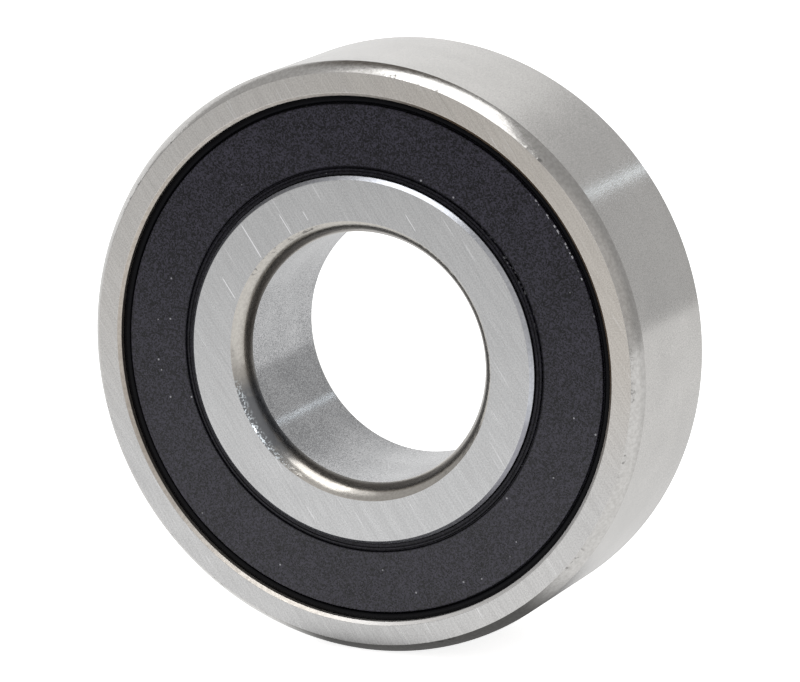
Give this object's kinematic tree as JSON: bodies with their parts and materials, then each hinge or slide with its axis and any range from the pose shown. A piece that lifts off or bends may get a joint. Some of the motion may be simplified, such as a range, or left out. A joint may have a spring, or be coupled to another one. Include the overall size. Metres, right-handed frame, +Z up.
{
  "type": "sealed ball bearing",
  "caption": "Sealed single-row deep groove ball bearing with steel rings, riveted ribbon cage and black rubber contact seals.",
  "frame": {"origin": "centre of the bearing: on its axis, midway between the side faces", "axes": "+Y along the bearing's axis, towards its rear side; the front side faces -Y; +Z up, +X to the right seen from the front"},
  "size_m": [0.04, 0.012, 0.04],
  "materials": {
    "ring_steel": "ground satin bearing steel",
    "ball_steel": "polished bearing steel",
    "cage_steel": "pressed low-carbon sheet, dull",
    "rivet_steel": "headed wire, dull",
    "insert_steel": "cold rolled strip, dull grey",
    "seal_rubber": "satin moulded nitrile rubber, near black"
  },
  "bodies": {
    "outer": {"outer_ring": "ring_steel", "seal_front_rubber": "seal_rubber", "seal_front_insert": "insert_steel", "seal_rear_rubber": "seal_rubber", "seal_rear_insert": "insert_steel"},
    "inner": {"inner_ring": "ring_steel"},
    "cage": {"cage_half_front": "cage_steel", "cage_half_rear": "cage_steel", "rivet_1": "rivet_steel", "rivet_2": "rivet_steel", "rivet_3": "rivet_steel", "rivet_4": "rivet_steel", "rivet_5": "rivet_steel", "rivet_6": "rivet_steel", "rivet_7": "rivet_steel", "rivet_8": "rivet_steel"},
    "ball_1": {"ball_1": "ball_steel"},
    "ball_2": {"ball_2": "ball_steel"},
    "ball_3": {"ball_3": "ball_steel"},
    "ball_4": {"ball_4": "ball_steel"},
    "ball_5": {"ball_5": "ball_steel"},
    "ball_6": {"ball_6": "ball_steel"},
    "ball_7": {"ball_7": "ball_steel"},
    "ball_8": {"ball_8": "ball_steel"}
  },
  "joints": [
    {"name": "inner_ring_spin", "type": "hinge", "parent": "outer", "child": "inner", "pos_m": [0, 0, 0], "axis": [0, 1, 0], "continuous": true},
    {"name": "cage_spin", "type": "hinge", "parent": "outer", "child": "cage", "pos_m": [0, 0, 0], "axis": [0, 1, 0], "continuous": true},
    {"name": "ball_1_spin", "type": "hinge", "parent": "cage", "child": "ball_1", "pos_m": [0.01425, 0, 0], "axis": [0, 1, 0], "continuous": true},
    {"name": "ball_2_spin", "type": "hinge", "parent": "cage", "child": "ball_2", "pos_m": [0.01008, 0, 0.01008], "axis": [0, 1, 0], "continuous": true},
    {"name": "ball_3_spin", "type": "hinge", "parent": "cage", "child": "ball_3", "pos_m": [0, 0, 0.01425], "axis": [0, 1, 0], "continuous": true},
    {"name": "ball_4_spin", "type": "hinge", "parent": "cage", "child": "ball_4", "pos_m": [-0.01008, 0, 0.01008], "axis": [0, 1, 0], "continuous": true},
    {"name": "ball_5_spin", "type": "hinge", "parent": "cage", "child": "ball_5", "pos_m": [-0.01425, 0, 0], "axis": [0, 1, 0], "continuous": true},
    {"name": "ball_6_spin", "type": "hinge", "parent": "cage", "child": "ball_6", "pos_m": [-0.01008, 0, -0.01008], "axis": [0, 1, 0], "continuous": true},
    {"name": "ball_7_spin", "type": "hinge", "parent": "cage", "child": "ball_7", "pos_m": [0, 0, -0.01425], "axis": [0, 1, 0], "continuous": true},
    {"name": "ball_8_spin", "type": "hinge", "parent": "cage", "child": "ball_8", "pos_m": [0.01008, 0, -0.01008], "axis": [0, 1, 0], "continuous": true}
  ],
  "couplings": [
    {"joint": "cage_spin", "follows": "inner_ring_spin", "ratio": 0.38163},
    {"joint": "ball_1_spin", "follows": "inner_ring_spin", "ratio": -1.9937},
    {"joint": "ball_2_spin", "follows": "inner_ring_spin", "ratio": -1.9937},
    {"joint": "ball_3_spin", "follows": "inner_ring_spin", "ratio": -1.9937},
    {"joint": "ball_4_spin", "follows": "inner_ring_spin", "ratio": -1.9937},
    {"joint": "ball_5_spin", "follows": "inner_ring_spin", "ratio": -1.9937},
    {"joint": "ball_6_spin", "follows": "inner_ring_spin", "ratio": -1.9937},
    {"joint": "ball_7_spin", "follows": "inner_ring_spin", "ratio": -1.9937},
    {"joint": "ball_8_spin", "follows": "inner_ring_spin", "ratio": -1.9937}
  ]
}
